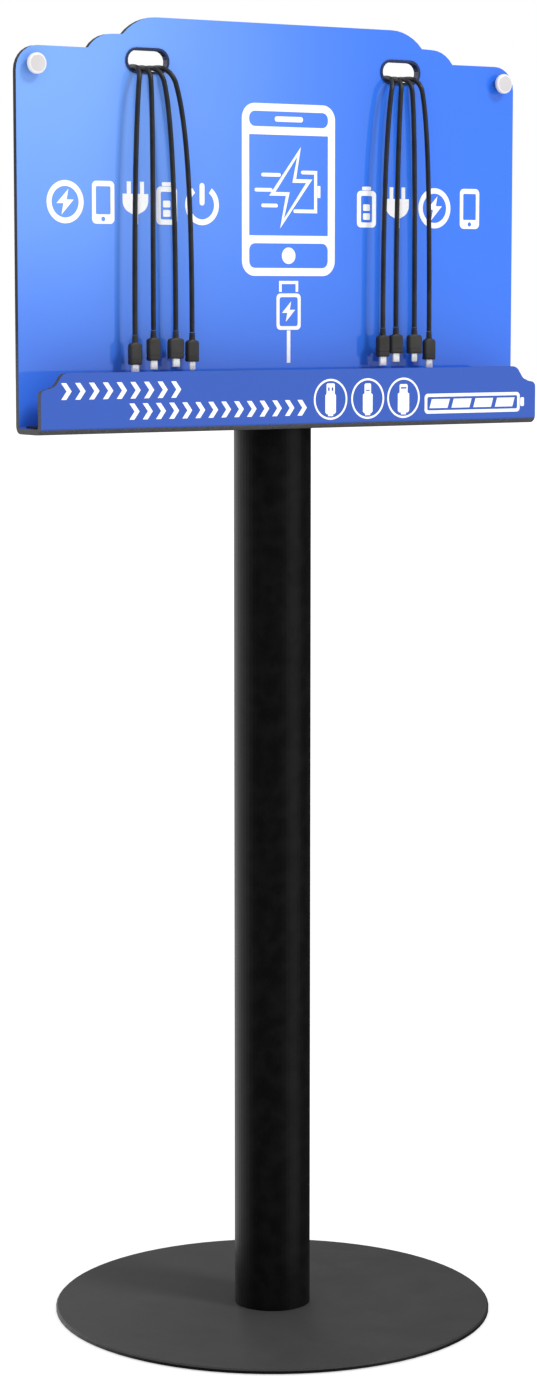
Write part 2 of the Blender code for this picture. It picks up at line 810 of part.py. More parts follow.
# ---------------------------------------------------------------- head screws
for i, (x, y) in enumerate(TRAY_SCREWS + FLOOR_SCREWS):
    profile = (
        [(0, SHEET_T - 0.2), (3.9, SHEET_T - 0.2), (2.1, SHEET_T - 2.0), (2.1, -8.0), (0, -8.0)]
        if i < 2
        else [(0, 4.4), (3.2, 4.2), (4.0, 3.2), (4.0, 2.3), (2.1, 2.3), (2.1, -8.0), (0, -8.0)]
    )
    screw = lathe(
        f"head_screw_{i + 1}",
        [(r, TRAY_Z + z) for r, z in profile],
        ZINC,
        12,
        (x, y, 0),
    )
    shade(screw)

# ---------------------------------------------------------------- column, cap and foot
top_z = TRAY_Z - 0.3
tube = lathe(
    "column_tube",
    [
        (COLUMN_R - COLUMN_WALL, top_z),
        (COLUMN_R, top_z),
        (COLUMN_R, BASE_Z1 + 0.3),
        (COLUMN_R - COLUMN_WALL, BASE_Z1 + 0.3),
    ],
    BLACK_STEEL,
    56,
)
shade(tube)
cap_plate = lathe(
    "column_cap",
    [
        (0, top_z),
        (COLUMN_R - COLUMN_WALL - 0.3, top_z),
        (COLUMN_R - COLUMN_WALL - 0.3, top_z - 9.0),
        (COLUMN_R - COLUMN_WALL - 1.3, top_z - 10.0),
        (0, top_z - 10.0),
    ],
    ZINC,
    36,
)
bm = bmesh.new()
for x, y in TRAY_SCREWS + FLOOR_SCREWS:
    rod_into(bm, 2.4, 34, (x, y + HEAD_BACK, top_z), "Z", 12)
boolean(cap_plate, add("cut_cap_threads", bm, None, True))
shade(cap_plate)

foot = lathe(
    "column_foot",
    [
        (0, 30.0),
        (COLUMN_R - COLUMN_WALL - 1.4, 30.0),
        (COLUMN_R - COLUMN_WALL - 0.4, 29.0),
        (COLUMN_R - COLUMN_WALL - 0.4, BASE_Z1 + 0.3),
        (0, BASE_Z1 + 0.3),
    ],
    ZINC,
    28,
)
base = lathe(
    "base_plate",
    [
        (0, BASE_Z1),
        (BASE_R - 1.4, BASE_Z1),
        (BASE_R, BASE_Z1 - 1.4),
        (BASE_R, BASE_Z0),
        (0, BASE_Z0),
    ],
    BASE_STEEL,
    80,
)
bm = bmesh.new()
for i in range(3):
    a = math.radians(30 + 120 * i)
    rod_into(bm, 3.3, 44, (FOOT_SCREW_R * math.cos(a), FOOT_SCREW_R * math.sin(a), 4), "Z", 12)
drill = add("cut_foot_screws", bm, None, True)
boolean(foot, drill)
boolean(base, drill)
bm = bmesh.new()
for i in range(3):
    a = math.radians(30 + 120 * i)
    made = bmesh.ops.create_cone(bm, cap_ends=True, segments=12, radius1=8.3, radius2=2.8, depth=5.4)["verts"]
    bmesh.ops.translate(
        bm,
        vec=(FOOT_SCREW_R * math.cos(a), FOOT_SCREW_R * math.sin(a), BASE_Z0 - 1.4 + 2.7),
        verts=made,
    )
boolean(base, add("cut_countersinks", bm, None, True))
for i in range(3):
    a = math.radians(30 + 120 * i)
    screw = lathe(
        f"foot_screw_{i + 1}",
        [(0, 24.0), (2.9, 24.0), (2.9, 4.2), (5.9, 1.2), (0, 1.2)],
        ZINC,
        12,
        (FOOT_SCREW_R * math.cos(a), FOOT_SCREW_R * math.sin(a), 0),
    )
    shade(screw)
shade(foot)
shade(base)
pad = lathe(
    "base_pad", [(0, 0.7), (BASE_R - 5, 0.7), (BASE_R - 5, 0.0), (0, 0.0)], RUBBER, 48
)


# ---------------------------------------------------------------- cords and plugs
def bezier(a, b, c, d, n):
    out = []
    for i in range(n):
        t = i / n
        out.append(
            tuple(
                (1 - t) ** 3 * p + 3 * t * (1 - t) ** 2 * q + 3 * t * t * (1 - t) * r + t**3 * s
                for p, q, r, s in zip(a, b, c, d)
            )
        )
    return out


def cord_points(slot_x, hang_x, end_z):
    """Centreline from the hub port, through the slot and down the front of the board."""
    rest = TRAY_Z + SLOT_Z - SLOT_H / 2 + 0.3 + BEZEL_WALL + CORD_R + 1.2
    rest += 0.6 * (abs(abs(slot_x) - CORD_X) > 8)
    port = (slot_x, 2.0, TRAY_Z + 237.0)
    lift = (slot_x, 2.0, TRAY_Z + 298.0)
    through = (slot_x, -38.0, rest)
    out = (slot_x + 0.35 * (hang_x - slot_x), BOARD_Y - 12.5, rest - 12.5)
    low = (hang_x, CORD_Y, end_z)
    points = [
        tuple(p + (q - p) * i / 6 for p, q in zip(port, lift)) for i in range(6)
    ]
    points += bezier(lift, (slot_x, 2, rest - 3), (slot_x, -10, rest), through, 5)
    points += bezier(
        through,
        (slot_x, BOARD_Y - 3, rest),
        (slot_x + 0.15 * (hang_x - slot_x), BOARD_Y - 11.5, rest - 2),
        out,
        6,
    )
    points += bezier(
        out,
        (out[0] + 0.35 * (hang_x - slot_x), CORD_Y, rest - 40),
        (hang_x, CORD_Y, rest - 90),
        low,
        18,
    )
    points.append(low)
    return points


for name, slot_x, hang_x, width, top, bottom, tip, tip_w, tip_t in PLUGS:
    neck = TRAY_Z + top + 7.0
    curve = bpy.data.curves.new(f"cord_{name}", "CURVE")
    curve.dimensions = "3D"
    curve.bevel_depth = CORD_R * MM
    curve.bevel_resolution = 2
    curve.use_fill_caps = True
    spline = curve.splines.new("POLY")
    points = cord_points(slot_x, hang_x, neck + 0.3)
    spline.points.add(len(points) - 1)
    for point, co in zip(spline.points, points):
        point.co = (co[0] * MM, co[1] * MM, co[2] * MM, 1.0)
    curve.materials.append(CORD_BLACK)
    main.objects.link(bpy.data.objects.new(f"cord_{name}", curve))

    # Plug: strain relief, moulded shell and metal tip, as one body.
    outline = [
        (-2.6, neck),
        (-3.0, TRAY_Z + top + 1.5),
        (-width / 2 + 1.6, TRAY_Z + top),
        (-width / 2, TRAY_Z + top - 2.2),
        (-width / 2, TRAY_Z + bottom + 1.0),
        (-width / 2 + 1.0, TRAY_Z + bottom),
    ]
    outline += [(-x, z) for x, z in reversed(outline)]
    shell = prism(
        f"plug_{name}",
        [(hang_x + x, z) for x, z in outline],
        "Y",
        CORD_Y - 3.2,
        CORD_Y + 3.2,
        PLUG_BLACK,
    )
    bevel(shell, 0.9, 1, 50)
    bm = bmesh.new()
    prism_into(
        bm,
        stadium(hang_x, CORD_Y, tip_w, tip_t, 4),
        "Z",
        TRAY_Z + tip,
        TRAY_Z + bottom + 3,
    )
    boolean(shell, add(f"add_tip_{name}", bm, None, True), "UNION")
    shade(shell)

# ---------------------------------------------------------------- joint axes
STAND = {"column_tube", "column_cap", "column_foot", "base_plate", "base_pad"}
STAND |= {f"foot_screw_{i}" for i in (1, 2, 3)}
STAND |= {"cut_foot_screws", "cut_countersinks", "cut_cap_threads"}
door_axis = pivot(
    "door_axis",
    (HINGE_X, HINGE_Y, (hz0 + hz1) / 2),
    [door, leaf_moving, lock_body, lock_nut],
)
pivot("lock_axis", (LOCK_X, 46.0, TRAY_Z + LOCK_Z), [lock_plug, lock_cam], door_axis)
pivot("rocker_axis", (ROCKER_X, ROCKER_Y, TRAY_Z + ROCKER_Z), [rocker])

# ---------------------------------------------------------------- head back over the column
for obj in list(main.objects) + list(helpers.objects):
    if obj.parent is None and obj.name not in STAND:
        obj.location.y += HEAD_BACK * MM
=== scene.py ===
"""Looks of the phone charging kiosk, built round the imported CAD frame."""

import json
import math

import bmesh
import bpy
from mathutils import Matrix, Vector

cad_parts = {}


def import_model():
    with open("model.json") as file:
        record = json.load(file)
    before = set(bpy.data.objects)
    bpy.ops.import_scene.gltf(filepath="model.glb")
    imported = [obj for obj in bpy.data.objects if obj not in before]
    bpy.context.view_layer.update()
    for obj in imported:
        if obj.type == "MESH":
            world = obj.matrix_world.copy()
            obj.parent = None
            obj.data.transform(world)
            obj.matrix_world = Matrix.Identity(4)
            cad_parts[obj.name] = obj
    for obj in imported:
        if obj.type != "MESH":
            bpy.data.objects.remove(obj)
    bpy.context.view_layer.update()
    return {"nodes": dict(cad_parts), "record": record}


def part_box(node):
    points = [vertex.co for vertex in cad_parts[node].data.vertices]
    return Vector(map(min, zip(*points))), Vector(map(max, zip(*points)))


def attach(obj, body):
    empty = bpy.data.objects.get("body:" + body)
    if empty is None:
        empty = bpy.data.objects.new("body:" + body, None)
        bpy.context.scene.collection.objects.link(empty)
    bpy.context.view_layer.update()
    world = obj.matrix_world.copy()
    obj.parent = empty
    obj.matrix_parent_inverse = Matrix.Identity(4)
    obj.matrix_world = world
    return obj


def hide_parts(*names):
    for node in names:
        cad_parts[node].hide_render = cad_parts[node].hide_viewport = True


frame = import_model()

NODES = frame["nodes"]
MM = 0.001

panel_lo, panel_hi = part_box("display_panel")
TRAY = panel_lo.z  # underside of the tray
LIP_Y = panel_lo.y  # front of the lip
BOARD_Y = LIP_Y + 0.0378  # front of the board
HEAD = BOARD_Y + 0.045  # how far the head stands back over the column

scene = bpy.context.scene
for old in [o for o in scene.objects if o.type in ("LIGHT", "CAMERA")]:
    bpy.data.objects.remove(old)
if "Cube" in bpy.data.objects:
    bpy.data.objects.remove(bpy.data.objects["Cube"])
scene.view_settings.view_transform = "Standard"
scene.view_settings.look = "None"

# ---------------------------------------------------------------- camera
AZ, PITCH = math.radians(33.821), math.radians(7.035)
cam_data = bpy.data.cameras.new("camera")
cam = bpy.data.objects.new("camera", cam_data)
scene.collection.objects.link(cam)
scene.camera = cam
cam_data.sensor_width = 36.0
cam_data.sensor_fit = "AUTO"
cam_data.lens = 85.816
cam_data.shift_x = 0.0
cam_data.shift_y = 0.0076
cam_data.clip_start, cam_data.clip_end = 0.05, 100.0
cam.location = (-1.66619, -2.48058, 0.93923)
look = Vector(
    (
        math.sin(AZ) * math.cos(PITCH),
        math.cos(AZ) * math.cos(PITCH),
        -math.sin(PITCH),
    )
)
cam.rotation_mode = "QUATERNION"
cam.rotation_quaternion = look.to_track_quat("-Z", "Y")


# ---------------------------------------------------------------- node materials
class Look:
    """A small builder of procedural materials, on object coordinates."""

    def __init__(self, name):
        self.mat = bpy.data.materials.new(name)
        self.mat.use_nodes = True
        self.tree = self.mat.node_tree
        self.tree.nodes.clear()
        self.out = self.tree.nodes.new("ShaderNodeOutputMaterial")
        self.bsdf = self.tree.nodes.new("ShaderNodeBsdfPrincipled")
        self.tree.links.new(self.bsdf.outputs[0], self.out.inputs[0])
        self.coord = self.tree.nodes.new("ShaderNodeTexCoord")
        self.place = self.coord.outputs["Object"]

    def put(self, socket, value):
        if hasattr(value, "links"):
            self.tree.links.new(value, socket)
        elif isinstance(value, (tuple, list)) and len(value) == 3 and socket.type == "RGBA":
            socket.default_value = (*value, 1.0)
        else:
            socket.default_value = value

    def set(self, **values):
        for key, value in values.items():
            self.put(self.bsdf.inputs[key.replace("_", " ").title().replace("Ior", "IOR")], value)

    def scaled(self, sx, sy, sz, vector=None):
        node = self.tree.nodes.new("ShaderNodeMapping")
        self.put(node.inputs["Vector"], vector or self.place)
        node.inputs["Scale"].default_value = (sx, sy, sz)
        return node.outputs[0]

    def noise(self, scale, detail=3.0, rough=0.5, vector=None, distortion=0.0):
        node = self.tree.nodes.new("ShaderNodeTexNoise")
        self.put(node.inputs["Vector"], vector or self.place)
        node.inputs["Scale"].default_value = scale
        node.inputs["Detail"].default_value = detail
        node.inputs["Roughness"].default_value = rough
        node.inputs["Distortion"].default_value = distortion
        return node.outputs["Fac"]

    def cells(self, scale, vector=None, feature="F1"):
        node = self.tree.nodes.new("ShaderNodeTexVoronoi")
        node.feature = feature
        self.put(node.inputs["Vector"], vector or self.place)
        node.inputs["Scale"].default_value = scale
        return node.outputs["Distance"]

    def wave(self, scale, direction="X", vector=None, profile="SIN"):
        node = self.tree.nodes.new("ShaderNodeTexWave")
        node.bands_direction = direction
        node.wave_profile = profile
        self.put(node.inputs["Vector"], vector or self.place)
        node.inputs["Scale"].default_value = scale
        return node.outputs["Fac"]

    def maths(self, operation, a, b=0.0, c=0.0, clamp=False):
        node = self.tree.nodes.new("ShaderNodeMath")
        node.operation = operation
        node.use_clamp = clamp
        for socket, value in zip(node.inputs, (a, b, c)):
            self.put(socket, value)
        return node.outputs[0]

    def span(self, value, a0, a1, b0=0.0, b1=1.0, smooth=False):
        node = self.tree.nodes.new("ShaderNodeMapRange")
        if smooth:
            node.interpolation_type = "SMOOTHSTEP"
        self.put(node.inputs["Value"], value)
        for key, v in (("From Min", a0), ("From Max", a1), ("To Min", b0), ("To Max", b1)):
            node.inputs[key].default_value = v
        return node.outputs[0]

    def mix(self, fac, a, b, blend="MIX"):
        node = self.tree.nodes.new("ShaderNodeMix")
        node.data_type = "RGBA"
        node.blend_type = blend
        self.put(node.inputs[0], fac)
        self.put(node.inputs[6], a)
        self.put(node.inputs[7], b)
        return node.outputs[2]

    def split(self, vector=None):
        node = self.tree.nodes.new("ShaderNodeSeparateXYZ")
        self.put(node.inputs[0], vector or self.place)
        return node.outputs

    def bump(self, height, strength=0.3, distance=0.0005, normal=None, invert=False):
        node = self.tree.nodes.new("ShaderNodeBump")
        node.invert = invert
        self.put(node.inputs["Height"], height)
        node.inputs["Strength"].default_value = strength
        node.inputs["Distance"].default_value = distance
        if normal is not None:
            self.put(node.inputs["Normal"], normal)
        return node.outputs[0]

    def edge(self, radius=0.0005, samples=4):
        node = self.tree.nodes.new("ShaderNodeBevel")
        node.samples = samples
        node.inputs["Radius"].default_value = radius
        return node.outputs[0]


def srgb(text):
    """Linear colour of a hex code."""
    out = []
    for i in (0, 2, 4):
        v = int(text[i : i + 2], 16) / 255
        out.append(v / 12.92 if v <= 0.04045 else ((v + 0.055) / 1.055) ** 2.4)
    return tuple(out)


def make_board():
    """Printed sheet: gloss blue on its faces, dark core on cut edges, bend and back. The blue carries painted light: a
    painted highlight towards the top left, and painted shade towards the tray.
    """
    k = Look("board_print")
    x, y, z = k.split()
    nx, ny, nz = k.split(k.coord.outputs["Normal"])
    front = k.maths("MULTIPLY", k.maths("LESS_THAN", ny, -0.9), k.maths("GREATER_THAN", z, TRAY + 0.0043))
    inside_y = k.maths("MULTIPLY", k.maths("GREATER_THAN", y, LIP_Y + 0.0025), k.maths("LESS_THAN", y, BOARD_Y + 0.0004))
    inner = k.maths("MULTIPLY", inside_y, k.maths("GREATER_THAN", ny, 0.9))
    floor = k.maths("MULTIPLY", k.maths("LESS_THAN", z, TRAY + 0.0085), k.maths("GREATER_THAN", nz, 0.03))
    floor = k.maths("MULTIPLY", floor, inside_y)
    blue = k.maths("MAXIMUM", front, k.maths("MAXIMUM", inner, floor), clamp=True)
    lip = k.maths("LESS_THAN", y, LIP_Y + 0.0016)

    # Painted light: a painted highlight lightens the blue towards the top left, and the blue changes from the middle to
    # the right edge as painted light.
    across = k.span(x, -0.267, 0.267)
    up = k.span(z, TRAY, TRAY + 0.36)
    painted_light_glow = k.maths("MULTIPLY", k.span(across, 0.0, 0.75, 1.0, 0.0, True), k.span(up, -0.10, 0.95, 0.0, 1.0, True))
    shade = k.mix(k.span(across, 0.35, 1.0, 0.0, 1.0, True), BLUE_MID, BLUE_RIGHT)
    shade = k.mix(painted_light_glow, shade, BLUE_PAINTED_LIGHT)
    # Painted shade: the blue is darkened towards the tray.
    low = k.span(up, 0.0, 0.5, 1.0, 0.0, True)
    shade = k.mix(k.maths("MULTIPLY", low, 0.55), shade, BLUE_PAINTED_SHADE_LOW)
    shade = k.mix(lip, shade, BLUE_LIP)
    grain = k.noise(9.0, 3.0)
    shade = k.mix(k.span(grain, 0.35, 0.7, 0.0, 0.045), shade, (0.03, 0.08, 0.35))
    fibre = k.noise(900.0, 2.0)
    core = k.mix(k.span(fibre, 0.3, 0.7), srgb("404041"), srgb("5a5a5b"))
    rim = k.maths("MULTIPLY", k.span(z, TRAY + 0.05, TRAY + 0.09, 0.0, 0.8), k.maths("LESS_THAN", ny, 0.9))
    core = k.mix(rim, core, srgb("0c1420"))
    k.set(base_color=k.mix(blue, core, shade))

    smear = k.noise(14.0, 4.0, 0.6, distortion=0.6)
    gloss = k.maths("ADD", k.span(smear, 0.3, 0.75, 0.045, 0.085), k.maths("MULTIPLY", lip, 0.24))
    k.set(roughness=k.maths("ADD", k.maths("MULTIPLY", blue, gloss), k.maths("MULTIPLY", k.maths("SUBTRACT", 1.0, blue), 0.5)))
    k.put(k.bsdf.inputs["Specular IOR Level"], k.maths("ADD", 0.10, k.maths("MULTIPLY", blue, 0.40)))
    peel = k.noise(260.0, 1.0)
    k.set(normal=k.bump(peel, 0.03, 0.0004, k.bump(fibre, 0.03, 0.0002, k.edge(0.0006))))
    return k.mat


def make_print():
    k = Look("white_vinyl")
    mottle = k.noise(30.0, 3.0)
    k.set(base_color=k.mix(k.span(mottle, 0.3, 0.7), (0.93, 0.94, 0.96), (0.98, 0.985, 1.0)))
    k.set(roughness=k.span(k.noise(120.0, 2.0), 0.3, 0.7, 0.26, 0.36))
    k.bsdf.inputs["Specular IOR Level"].default_value = 0.4
    k.set(normal=k.bump(k.noise(420.0, 2.0), 0.04, 0.0003))
    return k.mat


def make_cap():
    """Moulded white cap: its flat face is painted a darker warm grey as painted shade, inside a rim painted brighter as
    a painted highlight.
    """
    k = Look("cap_white")
    nx, ny, nz = k.split(k.coord.outputs["Normal"])
    # Painted shade and highlight by which way the surface faces: the flat face is painted darker grey, and the chamfer
    # rim brighter.
    face = k.maths("LESS_THAN", ny, -0.97)
    cloud = k.span(k.noise(60.0, 3.0), 0.3, 0.7)
    painted_shade_face = k.mix(cloud, (0.60, 0.575, 0.585), (0.66, 0.635, 0.645))
    rim = k.mix(cloud, (0.82, 0.81, 0.82), (0.88, 0.87, 0.88))
    k.set(base_color=k.mix(face, rim, painted_shade_face))
    k.set(roughness=k.span(k.noise(140.0, 2.0), 0.3, 0.7, 0.28, 0.38))
    k.bsdf.inputs["Specular IOR Level"].default_value = 0.4
    k.set(normal=k.bump(k.noise(900.0, 2.0), 0.05, 0.0002))
    return k.mat


def make_plastic(name, dark, light, rough, grain=1400.0, strength=0.12, spec=0.4, coat=0.0, edge=0.0003):
    """Moulded plastic with a fine spark-eroded grain."""
    k = Look(name)
    cloud = k.noise(45.0, 3.0)
    k.set(base_color=k.mix(k.span(cloud, 0.3, 0.7), dark, light))
    fine = k.noise(grain, 2.0, 0.6)
    k.set(roughness=k.span(k.noise(grain / 6, 2.0), 0.3, 0.7, rough - 0.05, rough + 0.06))
    k.bsdf.inputs["Specular IOR Level"].default_value = spec
    k.bsdf.inputs["Coat Weight"].default_value = coat
    k.bsdf.inputs["Coat Roughness"].default_value = 0.08
    k.set(normal=k.bump(fine, strength, 0.0002, k.edge(edge) if edge else None))
    return k.mat


def make_powder(name, dark, light, rough, wear, spec=0.3, pebble=900.0, painted_side_shade=0.0, vary=0.045):
    """Powder coat: an orange peel of small pebbles, slightly polished at the edges."""
    k = Look(name)
    cloud = k.noise(6.0, 4.0, 0.6)
    base = k.mix(k.span(cloud, 0.3, 0.75), dark, light)
    pebbles = k.cells(pebble)
    speck = k.span(k.noise(pebble * 1.7, 1.0), 0.62, 0.75, 0.0, 0.35)
    base = k.mix(speck, base, wear)
    geo = k.tree.nodes.new("ShaderNodeNewGeometry")
    rim = k.span(geo.outputs["Pointiness"], 0.53, 0.62, 0.0, 0.35)
    rim = k.maths("MULTIPLY", rim, k.span(k.noise(70.0, 3.0), 0.4, 0.65))
    base = k.mix(rim, base, wear)
    # Painted shade: steep side walls are darkened towards black by the given amount.
    if painted_side_shade:
        nx, ny, nz = k.split(k.coord.outputs["Normal"])
        base = k.mix(k.span(k.maths("ABSOLUTE", nz), 0.55, 0.85, painted_side_shade, 0.0), base, (0.002, 0.002, 0.0022))
    k.set(base_color=base)
    k.set(roughness=k.span(k.noise(25.0, 3.0), 0.3, 0.7, rough - vary, rough + vary))
    k.bsdf.inputs["Specular IOR Level"].default_value = spec
    k.set(normal=k.bump(pebbles, 0.10, 0.0003, k.bump(k.noise(pebble * 0.6, 2.0), 0.06, 0.0003, k.edge(0.0005))))
    return k.mat


def make_metal(name, colour, dull, rough, brush=(1.0, 1.0, 30.0), grain=60.0, plated=1.0):
    """Plated or polished metal with drawn brush lines and faint stains."""
    k = Look(name)
    lines = k.noise(grain, 4.0, 0.6, k.scaled(*brush))
    stain = k.noise(90.0, 4.0, 0.6, distortion=0.8)
    k.set(base_color=k.mix(k.span(stain, 0.42, 0.75), colour, dull))
    k.set(metallic=plated)
    k.set(roughness=k.maths("ADD", k.span(lines, 0.3, 0.7, rough - 0.05, rough + 0.07), k.span(stain, 0.5, 0.8, 0.0, 0.08)))
    k.set(normal=k.bump(lines, 0.08, 0.0002, k.edge(0.0003)))
    return k.mat


def make_rubber(name, ribs=None):
    k = Look(name)
    cloud = k.noise(40.0, 4.0)
    dust = k.span(k.noise(11.0, 4.0, 0.6), 0.5, 0.8, 0.0, 0.25)
    base = k.mix(k.span(cloud, 0.3, 0.7), (0.012, 0.012, 0.012), (0.024, 0.024, 0.025))
    k.set(base_color=k.mix(dust, base, (0.07, 0.07, 0.07)))
    k.set(roughness=k.span(cloud, 0.3, 0.7, 0.62, 0.8))
    k.bsdf.inputs["Specular IOR Level"].default_value = 0.25
    normal = k.bump(k.noise(900.0, 2.0), 0.15, 0.0003)
    if ribs:
        normal = k.bump(k.wave(ribs, "Y"), 0.6, 0.0008, normal)
    k.set(normal=normal)
    return k.mat


def make_jacket():
    """Satin extruded cord jacket: long faint draw lines and a fine bloom."""
    k = Look("cord_jacket")
    bloom = k.noise(60.0, 4.0, 0.6)
    k.set(base_color=k.mix(k.span(bloom, 0.35, 0.75), (0.016, 0.016, 0.017), (0.03, 0.03, 0.031)))
    k.set(roughness=k.span(k.noise(220.0, 2.0), 0.3, 0.7, 0.34, 0.46))
    k.bsdf.inputs["Specular IOR Level"].default_value = 0.42
    draw = k.noise(2600.0, 1.0, vector=k.scaled(1.0, 1.0, 0.02))
    k.set(normal=k.bump(draw, 0.12, 0.0002, k.bump(k.noise(1500.0, 2.0), 0.06, 0.0002)))
    return k.mat


# Board blues: the first is a painted highlight, the second and third give the painted left-to-right change, and the
# fourth is painted shade towards the tray.
BLUE_PAINTED_LIGHT = (0.188, 0.400, 0.96)
BLUE_MID = (0.047, 0.192, 0.83)
BLUE_RIGHT = (0.030, 0.180, 0.88)
BLUE_PAINTED_SHADE_LOW = (0.036, 0.145, 0.68)
BLUE_LIP = (0.022, 0.090, 0.46)

M = {
    "board": make_board(),
    "print": make_print(),
    "trim": make_plastic("slot_trim", (0.006, 0.018, 0.075), (0.010, 0.026, 0.100), 0.28, spec=0.4),
    "cap": make_cap(),
    "zinc": make_metal("zinc_plate", (0.62, 0.63, 0.65), (0.53, 0.54, 0.57), 0.34),
    "powder": make_powder("powder_black", (0.0030, 0.0030, 0.0031), (0.0036, 0.0036, 0.0037), 0.35, (0.010, 0.010, 0.011), 0.13, vary=0.015),
    "case": make_powder("powder_case", (0.0085, 0.0085, 0.0090), (0.0110, 0.0110, 0.0115), 0.34, (0.030, 0.030, 0.031), 0.32, 700.0),
    # The charcoal base's side wall gets painted shade.
    "base": make_powder("powder_charcoal", (0.048, 0.048, 0.049), (0.058, 0.058, 0.059), 0.40, (0.075, 0.075, 0.077), 0.25, 700.0, 0.95),
    "chrome": make_metal("polished_chrome", (0.84, 0.85, 0.87), (0.70, 0.71, 0.74), 0.10, (1.0, 1.0, 1.0), 400.0),
    "nickel": make_metal("plug_nickel", (0.93, 0.93, 0.94), (0.80, 0.80, 0.82), 0.24, (1.0, 1.0, 0.1), 900.0, 0.45),
    "plastic": make_plastic("black_plastic", (0.012, 0.012, 0.013), (0.020, 0.020, 0.021), 0.42),
    "grey": make_plastic("grey_plastic", (0.13, 0.135, 0.14), (0.17, 0.175, 0.18), 0.46),
    "plug": make_plastic("plug_mould", (0.030, 0.029, 0.027), (0.045, 0.043, 0.040), 0.5, 1800.0, 0.15, 0.35, edge=0.0),
    "rubber": make_rubber("rubber_black"),
    "liner": make_rubber("liner_rubber", 110.0),
    "cord": make_jacket(),
}

SLOT_LOOK = {
    "board_blue": "board",
    "trim_navy": "trim",
    "cap_white": "cap",
    "zinc_steel": "zinc",
    "powder_black": "powder",
    "base_charcoal": "base",
    "chrome": "chrome",
    "black_plastic": "plastic",
    "grey_plastic": "grey",
    "rubber_black": "rubber",
    "cord_black": "cord",
    "plug_black": "plug",
}
for part in frame["record"]["subparts"]:
    obj = NODES[part["node"]]
    key = SLOT_LOOK[part["material_slot"]]
    if part["node"] == "tray_liner":
        key = "liner"
    elif part["node"] in ("rear_housing", "service_door"):
        key = "case"
    obj.data.materials.clear()
    obj.data.materials.append(M[key])


# ---------------------------------------------------------------- mesh helpers
def store(name, bm, mat, body="stand", smooth=35):
    """Turns a bmesh in metres into a piece that rides on a body."""
    bmesh.ops.remove_doubles(bm, verts=bm.verts[:], dist=1e-7)
    bmesh.ops.recalc_face_normals(bm, faces=bm.faces[:])
    mesh = bpy.data.meshes.new(name)
    bm.to_mesh(mesh)
    bm.free()
    for poly in mesh.polygons:
        poly.use_smooth = True
    mesh.set_sharp_from_angle(angle=math.radians(smooth))
    obj = bpy.data.objects.new(name, mesh)
    scene.collection.objects.link(obj)
    mesh.materials.append(mat)
    if body:
        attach(obj, body)
    return obj


def section(cx, cy, hw, hd, r, z, per=5):
    """Rounded rectangle ring in the XY plane, in millimetres."""
    r = min(r, hw, hd)
    out = []
    for sx, sy, a0 in ((1, 1, 0), (-1, 1, 90), (-1, -1, 180), (1, -1, 270)):
        for i in range(per + 1):
            a = math.radians(a0 + 90 * i / per)
            out.append((cx + sx * (hw - r) + r * math.cos(a), cy + sy * (hd - r) + r * math.sin(a), z))
    return out


def loft(bm, rings, cap0=True, cap1=True):
    made = [[bm.verts.new([c * MM for c in p]) for p in ring] for ring in rings]
    for a, b in zip(made, made[1:]):
        for i in range(len(a)):
            j = (i + 1) % len(a)
            bm.faces.new((a[i], a[j], b[j], b[i]))
    if cap0:
        bm.faces.new(made[0][::-1])
    if cap1:
        bm.faces.new(made[-1])


# ---------------------------------------------------------------- cords and plugs
CORD_R = 2.2
BOARD = -45.0  # the head's own millimetres, before HEAD moves it back
CORD_Y = BOARD - 15.0
SLOT_Z, SLOT_H = 320.8, 20.6
PLUGS = [
    ("l1", -148.2, -159.0, 12.0, 77.0, 58.5, 50.8, 8.3, 2.5),
    ("l2", -139.8, -140.0, 12.2, 81.0, 61.8, 54.0, 8.3, 2.5),
    ("l3", -131.5, -117.0, 15.0, 80.7, 63.3, 56.1, 8.4, 2.5),
    ("l4", -123.1, -100.0, 12.0, 79.0, 60.5, 52.8, 6.8, 1.7),
    ("r1", 123.1, 106.9, 12.6, 81.6, 62.7, 54.6, 8.3, 2.5),
    ("r2", 131.5, 121.6, 13.2, 82.4, 65.6, 57.8, 8.4, 2.5),
    ("r3", 139.8, 142.6, 14.8, 82.1, 65.3, 57.5, 6.8, 1.7),
    ("r4", 148.2, 159.5, 12.0, 78.0, 59.5, 51.8, 8.3, 2.5),
]


def bezier(a, b, c, d, n):
    return [
        tuple(
            (1 - t) ** 3 * p + 3 * t * (1 - t) ** 2 * q + 3 * t * t * (1 - t) * r + t**3 * s
            for p, q, r, s in zip(a, b, c, d)
        )
        for t in (i / n for i in range(n))
    ]


def cord_points(slot_x, hang_x, end_z):
    rest = SLOT_Z - SLOT_H / 2 + 0.3 + 1.0 + CORD_R + 1.2
    rest += 0.6 * (abs(abs(slot_x) - 135.65) > 8)
    port, lift = (slot_x, 2.0, 237.0), (slot_x, 2.0, 298.0)
    through = (slot_x, -38.0, rest)
    out = (slot_x + 0.35 * (hang_x - slot_x), BOARD - 12.5, rest - 12.5)
    low = (hang_x, CORD_Y, end_z)
    points = [tuple(p + (q - p) * i / 6 for p, q in zip(port, lift)) for i in range(6)]
    points += bezier(lift, (slot_x, 2, rest - 3), (slot_x, -10, rest), through, 9)
    points += bezier(
        through,
        (slot_x, BOARD - 3, rest),
        (slot_x + 0.15 * (hang_x - slot_x), BOARD - 11.5, rest - 2),
        out,
        10,
    )
    points += bezier(
        out,
        (out[0] + 0.35 * (hang_x - slot_x), CORD_Y, rest - 40),
        (hang_x, CORD_Y, rest - 90),
        low,
        26,
    )
    return points + [low]


def world(p):
    return Vector((p[0] * MM, p[1] * MM + HEAD, p[2] * MM + TRAY))


